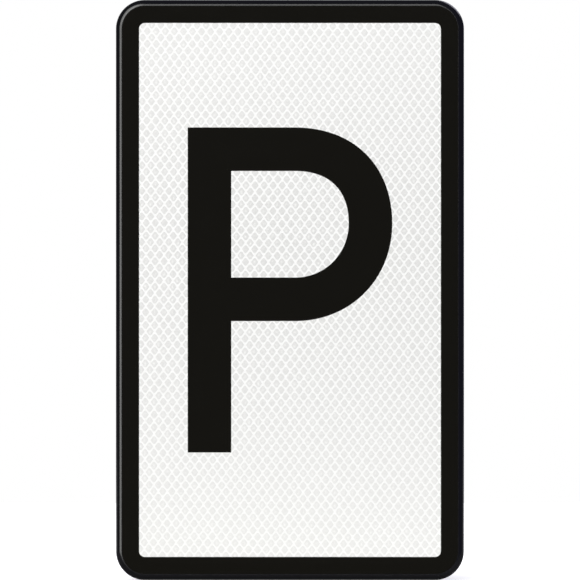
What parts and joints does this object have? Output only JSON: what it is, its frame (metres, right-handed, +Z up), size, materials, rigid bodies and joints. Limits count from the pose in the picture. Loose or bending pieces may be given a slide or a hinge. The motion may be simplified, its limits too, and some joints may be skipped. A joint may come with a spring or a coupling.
{
  "type": "parking sign",
  "caption": "Upright rectangular parking sign: sheet panel with rounded corners and a rim folded back and inwards, white reflective face, black border and black letter P.",
  "frame": {"origin": "under the middle of the sign, on its lowest line, halfway through its depth", "axes": "+X to the reader's right, +Y from the face towards the back, +Z up"},
  "size_m": [0.3, 0.0226, 0.5],
  "materials": {
    "coated_panel": "satin",
    "white_sheeting": "gloss",
    "black_film": "satin"
  },
  "bodies": {
    "root": {"sign_panel": "coated_panel", "reflective_sheeting": "white_sheeting", "border_film": "black_film", "letter_film": "black_film"}
  },
  "joints": []
}
